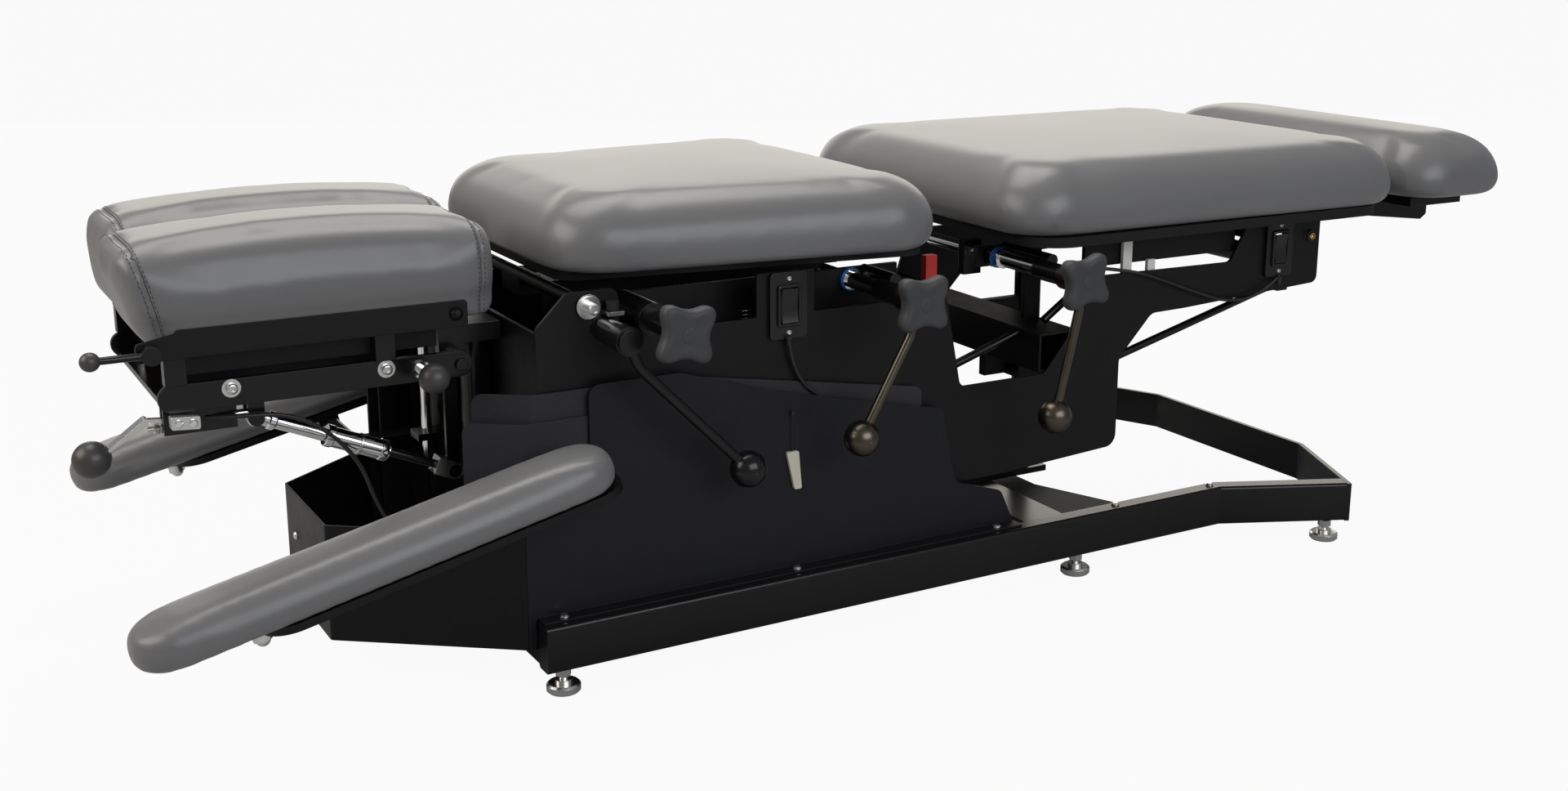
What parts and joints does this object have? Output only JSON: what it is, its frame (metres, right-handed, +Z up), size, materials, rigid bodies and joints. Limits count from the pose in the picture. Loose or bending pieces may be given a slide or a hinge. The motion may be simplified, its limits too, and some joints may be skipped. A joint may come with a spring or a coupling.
{
  "type": "chiropractic table",
  "caption": "Padded treatment table with lifting chassis, tilting head section, drop-piece cushions, sliding foot section and low armrests.",
  "frame": {"origin": "centre of the overall box in plan, on the floor under the levelling feet", "axes": "+X to the foot end, +Y to the far side in the picture, +Z up"},
  "size_m": [1.784, 0.624, 0.509],
  "materials": {
    "aluminium": "satin",
    "ball_phenolic": "satin",
    "black_plastic": "matte",
    "board_black": "black stained plywood",
    "chrome": "polished",
    "grey_vinyl": "satin vinyl",
    "powder_black": "fine texture powder coat",
    "red_plastic": "satin",
    "rubber_black": "matte",
    "satin_black": "smooth satin paint",
    "skirt_black": "textured powder coat",
    "white_nylon": "matte",
    "zinc": "zinc plate"
  },
  "bodies": {
    "base": {"base_rails": "satin_black", "foot_end_bumper": "satin_black", "base_cross_members": "satin_black", "levelling_feet": "zinc", "side_covers": "powder_black", "nose_cover": "powder_black", "cover_screws": "zinc", "lift_columns_outer": "satin_black", "actuator_body": "aluminium", "hanging_wedge": "white_nylon"},
    "skirt_lower": {"skirt_lower": "skirt_black"},
    "skirt_upper": {"skirt_upper": "skirt_black"},
    "lift": {"chassis_plate_near": "powder_black", "chassis_plate_far": "powder_black", "chassis_cross_members": "powder_black", "chassis_fasteners": "zinc", "lift_columns_inner": "chrome", "actuator_rod": "chrome", "head_column_tubes": "satin_black", "armrest_cross_tube": "satin_black", "switch_bezels": "black_plastic", "jack_socket": "chrome", "control_cables": "rubber_black", "stop_blocks": "red_plastic", "tie_rods": "satin_black", "drop_shafts": "chrome", "shaft_collars": "satin_black"},
    "rocker_head": {"rocker_head": "black_plastic"},
    "rocker_foot": {"rocker_foot": "black_plastic"},
    "head_carriage": {"head_yoke": "satin_black", "head_posts": "chrome"},
    "head_tilt": {"tilt_frame": "satin_black", "cushion_bracket": "powder_black", "head_cushion_near": "grey_vinyl", "head_cushion_far": "grey_vinyl", "release_block": "satin_black", "release_cable": "rubber_black", "head_bolts": "zinc"},
    "clamp_handle": {"clamp_handle": "ball_phenolic"},
    "lock_knob": {"lock_knob": "ball_phenolic"},
    "strut_cylinder": {"strut_cylinder": "satin_black"},
    "strut_rod": {"strut_rod": "chrome"},
    "release_lever": {"release_lever": "ball_phenolic"},
    "chest_frame": {"chest_frame": "powder_black"},
    "chest_top": {"chest_board": "board_black", "chest_cushion": "grey_vinyl"},
    "pelvic": {"pelvic_frame": "board_black", "pelvic_cushion": "grey_vinyl"},
    "foot": {"foot_slide": "satin_black", "foot_cushion": "grey_vinyl"},
    "drop_lever_1": {"drop_lever_1": "ball_phenolic"},
    "drop_lever_2": {"drop_lever_2": "ball_phenolic"},
    "drop_lever_3": {"drop_lever_3": "ball_phenolic"},
    "star_knob_1": {"star_knob_1": "black_plastic"},
    "star_knob_2": {"star_knob_2": "black_plastic"},
    "star_knob_3": {"star_knob_3": "black_plastic"},
    "armrest_near": {"armrest_pad_near": "grey_vinyl", "armrest_plate_near": "powder_black"},
    "armrest_far": {"armrest_pad_far": "grey_vinyl", "armrest_plate_far": "powder_black"}
  },
  "joints": [
    {"name": "lift_height", "type": "slide", "parent": "base", "child": "lift", "axis": [0, 0, 1], "range_m": [0, 0.2]},
    {"name": "skirt_lower_slide", "type": "slide", "parent": "base", "child": "skirt_lower", "axis": [0, 0, 1], "range_m": [0, 0.067]},
    {"name": "skirt_upper_slide", "type": "slide", "parent": "base", "child": "skirt_upper", "axis": [0, 0, 1], "range_m": [0, 0.134]},
    {"name": "head_rocker_switch", "type": "hinge", "parent": "lift", "child": "rocker_head", "pos_m": [-0.176, -0.2005, 0.377], "axis": [1, 0, 0], "range_deg": [-6, 6], "stiffness_Nm_per_rad": 0.2},
    {"name": "foot_rocker_switch", "type": "hinge", "parent": "lift", "child": "rocker_foot", "pos_m": [0.557, -0.2005, 0.375], "axis": [1, 0, 0], "range_deg": [-6, 6], "stiffness_Nm_per_rad": 0.2},
    {"name": "head_height", "type": "slide", "parent": "lift", "child": "head_carriage", "axis": [0, 0, 1], "range_m": [0, 0.06]},
    {"name": "head_tilt", "type": "hinge", "parent": "head_carriage", "child": "head_tilt", "pos_m": [-0.521, 0, 0.338], "axis": [0, -1, 0], "range_deg": [-10, 25]},
    {"name": "clamp_handle_turn", "type": "hinge", "parent": "head_tilt", "child": "clamp_handle", "pos_m": [-0.824, 0, 0.392], "axis": [0, 1, 0], "range_deg": [-60, 60]},
    {"name": "lock_knob_turn", "type": "hinge", "parent": "head_tilt", "child": "lock_knob", "pos_m": [-0.563, 0, 0.338], "axis": [0, 1, 0], "range_deg": [-180, 180]},
    {"name": "strut_swing", "type": "hinge", "parent": "head_tilt", "child": "strut_cylinder", "pos_m": [-0.723, 0, 0.304], "axis": [0, -1, 0], "range_deg": [-4.45, 2.08]},
    {"name": "strut_stroke", "type": "slide", "parent": "strut_cylinder", "child": "strut_rod", "axis": [0.9178, 0, -0.3969], "range_m": [-0.0509, 0.021]},
    {"name": "release_lever_pull", "type": "hinge", "parent": "head_tilt", "child": "release_lever", "pos_m": [-0.797, 0, 0.31], "axis": [0, 1, 0], "range_deg": [0, 12], "stiffness_Nm_per_rad": 6, "springref_deg": -5.73},
    {"name": "chest_lumbar_drop", "type": "hinge", "parent": "lift", "child": "chest_frame", "pos_m": [-0.409, 0, 0.4], "axis": [0, 1, 0], "range_deg": [0, 1.72]},
    {"name": "chest_thoracic_drop", "type": "hinge", "parent": "chest_frame", "child": "chest_top", "pos_m": [-0.009, 0, 0.4], "axis": [0, -1, 0], "range_deg": [0, 1.3]},
    {"name": "pelvic_drop", "type": "hinge", "parent": "lift", "child": "pelvic", "pos_m": [0.581, 0, 0.399], "axis": [0, -1, 0], "range_deg": [0, 1.4]},
    {"name": "foot_extension", "type": "slide", "parent": "lift", "child": "foot", "axis": [1, 0, 0], "range_m": [0, 0.15]},
    {"name": "drop_lever_1_cock", "type": "hinge", "parent": "lift", "child": "drop_lever_1", "pos_m": [-0.393, 0, 0.375], "axis": [0, -1, 0], "range_deg": [0, 45]},
    {"name": "star_knob_1_turn", "type": "hinge", "parent": "lift", "child": "star_knob_1", "pos_m": [-0.348, 0, 0.385], "axis": [0, -1, 0], "continuous": true},
    {"name": "drop_lever_2_cock", "type": "hinge", "parent": "lift", "child": "drop_lever_2", "pos_m": [-0.066, 0, 0.386], "axis": [0, -1, 0], "range_deg": [0, 45]},
    {"name": "star_knob_2_turn", "type": "hinge", "parent": "lift", "child": "star_knob_2", "pos_m": [-0.066, 0, 0.386], "axis": [0, -1, 0], "continuous": true},
    {"name": "drop_lever_3_cock", "type": "hinge", "parent": "lift", "child": "drop_lever_3", "pos_m": [0.155, 0, 0.388], "axis": [0, -1, 0], "range_deg": [0, 45]},
    {"name": "star_knob_3_turn", "type": "hinge", "parent": "lift", "child": "star_knob_3", "pos_m": [0.155, 0, 0.388], "axis": [0, -1, 0], "continuous": true},
    {"name": "armrest_near_tilt", "type": "hinge", "parent": "lift", "child": "armrest_near", "pos_m": [-0.563, 0, 0.186], "axis": [0, -1, 0], "range_deg": [-12.8, 15]},
    {"name": "armrest_far_tilt", "type": "hinge", "parent": "lift", "child": "armrest_far", "pos_m": [-0.563, 0, 0.186], "axis": [0, -1, 0], "range_deg": [-12.8, 15]}
  ],
  "couplings": [
    {"joint": "skirt_lower_slide", "follows": "lift_height", "ratio": 0.333},
    {"joint": "skirt_upper_slide", "follows": "lift_height", "ratio": 0.667},
    {"joint": "strut_swing", "follows": "head_tilt", "ratio": -0.1581},
    {"joint": "strut_stroke", "follows": "head_tilt", "m_per_rad": -0.11437}
  ]
}
